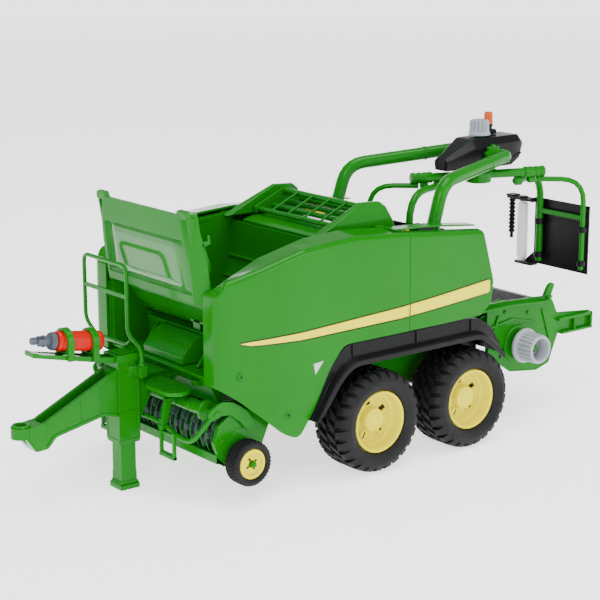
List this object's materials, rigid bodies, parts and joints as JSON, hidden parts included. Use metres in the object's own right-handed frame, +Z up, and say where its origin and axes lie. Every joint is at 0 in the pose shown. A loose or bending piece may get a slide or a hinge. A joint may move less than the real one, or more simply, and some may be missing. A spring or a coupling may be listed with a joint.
{
  "type": "toy round baler with bale wrapper",
  "caption": "Moulded toy of a towed round baler with a wrapping table and turning film rotor behind it, on tandem wheels, with opening lid, lowering pickup and jack.",
  "frame": {"origin": "on the floor under the middle of the overall length and width", "axes": "+X forward along the drawbar, +Y to the machine's left, +Z up"},
  "size_m": [0.5226, 0.1914, 0.2427],
  "materials": {
    "green_plastic": "gloss moulded",
    "yellow_plastic": "gloss moulded",
    "black_plastic": "satin moulded",
    "tyre_compound": "matte moulded tread",
    "grey_plastic": "satin moulded",
    "slate_plastic": "satin moulded",
    "red_plastic": "gloss moulded",
    "amber_plastic": "translucent gloss",
    "white_plastic": "gloss film"
  },
  "bodies": {
    "frame": {"axle_front": "black_plastic", "axle_rear": "black_plastic", "bale_chamber": "green_plastic", "beacon_base": "black_plastic", "beacon_lens": "amber_plastic", "chassis": "green_plastic", "drawbar": "green_plastic", "fender_left": "black_plastic", "fender_right": "black_plastic", "front_bay": "green_plastic", "front_panel_left": "green_plastic", "front_panel_right": "green_plastic", "head_housing": "black_plastic", "jack_post": "green_plastic", "platform_rail": "green_plastic", "rear_panel_left": "green_plastic", "rear_panel_right": "green_plastic", "rear_side_left": "green_plastic", "rear_side_right": "green_plastic", "roller_rack": "green_plastic", "roof": "green_plastic", "shaft_guard": "red_plastic", "shaft_joint": "slate_plastic", "shaft_tray": "green_plastic", "shoulder_left": "green_plastic", "shoulder_right": "green_plastic", "tread_left": "green_plastic", "tread_right": "green_plastic", "wrapper_arm_left": "green_plastic", "wrapper_arm_right": "green_plastic"},
    "jack_leg": {"jack_foot": "green_plastic"},
    "lid": {"lid": "green_plastic"},
    "pickup": {"pickup_frame": "green_plastic", "crop_guard": "green_plastic"},
    "tine_reel": {"tine_reel": "slate_plastic"},
    "crop_roller": {"crop_roller": "green_plastic"},
    "gauge_wheel_left": {"gauge_rim_left": "yellow_plastic", "gauge_tyre_left": "tyre_compound"},
    "gauge_wheel_right": {"gauge_rim_right": "yellow_plastic", "gauge_tyre_right": "tyre_compound"},
    "rotor": {"rotor_beam": "green_plastic", "rotor_knob": "grey_plastic", "film_hoop_front": "green_plastic", "film_hoop_rear": "green_plastic", "film_panel_front": "black_plastic", "film_panel_rear": "black_plastic"},
    "film_roll_front": {"film_roll_front": "white_plastic"},
    "film_roll_rear": {"film_roll_rear": "white_plastic"},
    "table": {"table_frame": "green_plastic", "table_belt": "black_plastic", "table_dial": "grey_plastic"},
    "wheel_front_left": {"rim_front_left": "yellow_plastic", "tyre_front_left": "tyre_compound"},
    "wheel_front_right": {"rim_front_right": "yellow_plastic", "tyre_front_right": "tyre_compound"},
    "wheel_rear_left": {"rim_rear_left": "yellow_plastic", "tyre_rear_left": "tyre_compound"},
    "wheel_rear_right": {"rim_rear_right": "yellow_plastic", "tyre_rear_right": "tyre_compound"}
  },
  "joints": [
    {"name": "wheel_front_left_spin", "type": "hinge", "parent": "frame", "child": "wheel_front_left", "pos_m": [0.0077, 0.077, 0.039], "axis": [0, 1, 0], "continuous": true},
    {"name": "wheel_front_right_spin", "type": "hinge", "parent": "frame", "child": "wheel_front_right", "pos_m": [0.0077, -0.077, 0.039], "axis": [0, 1, 0], "continuous": true},
    {"name": "wheel_rear_left_spin", "type": "hinge", "parent": "frame", "child": "wheel_rear_left", "pos_m": [-0.0847, 0.077, 0.039], "axis": [0, 1, 0], "continuous": true},
    {"name": "wheel_rear_right_spin", "type": "hinge", "parent": "frame", "child": "wheel_rear_right", "pos_m": [-0.0847, -0.077, 0.039], "axis": [0, 1, 0], "continuous": true},
    {"name": "jack_slide", "type": "slide", "parent": "frame", "child": "jack_leg", "axis": [0, 0, 1], "range_m": [0, 0.024]},
    {"name": "lid_hinge", "type": "hinge", "parent": "frame", "child": "lid", "pos_m": [0.1387, 0, 0.146], "axis": [0, -1, 0], "range_deg": [0, 82]},
    {"name": "pickup_lower", "type": "hinge", "parent": "frame", "child": "pickup", "pos_m": [0.0977, 0, 0.068], "axis": [0, 1, 0], "range_deg": [0, 13]},
    {"name": "reel_spin", "type": "hinge", "parent": "pickup", "child": "tine_reel", "pos_m": [0.1237, 0, 0.047], "axis": [0, 1, 0], "continuous": true},
    {"name": "crop_roller_spin", "type": "hinge", "parent": "pickup", "child": "crop_roller", "pos_m": [0.1437, 0, 0.0675], "axis": [0, 1, 0], "continuous": true},
    {"name": "gauge_left_spin", "type": "hinge", "parent": "pickup", "child": "gauge_wheel_left", "pos_m": [0.1225, 0.0836, 0.0304], "axis": [0, 1, 0], "continuous": true},
    {"name": "gauge_right_spin", "type": "hinge", "parent": "pickup", "child": "gauge_wheel_right", "pos_m": [0.1225, -0.0836, 0.0304], "axis": [0, 1, 0], "continuous": true},
    {"name": "rotor_spin", "type": "hinge", "parent": "frame", "child": "rotor", "pos_m": [-0.1763, 0, 0.1925], "axis": [0, 0, 1], "continuous": true},
    {"name": "film_front_spin", "type": "hinge", "parent": "rotor", "child": "film_roll_front", "pos_m": [-0.0973, 0.024, 0.132], "axis": [0, 0, 1], "continuous": true},
    {"name": "film_rear_spin", "type": "hinge", "parent": "rotor", "child": "film_roll_rear", "pos_m": [-0.2553, -0.024, 0.132], "axis": [0, 0, 1], "continuous": true},
    {"name": "table_tilt", "type": "hinge", "parent": "frame", "child": "table", "pos_m": [-0.1603, 0, 0.0656], "axis": [0, -1, 0], "range_deg": [0, 35]}
  ]
}
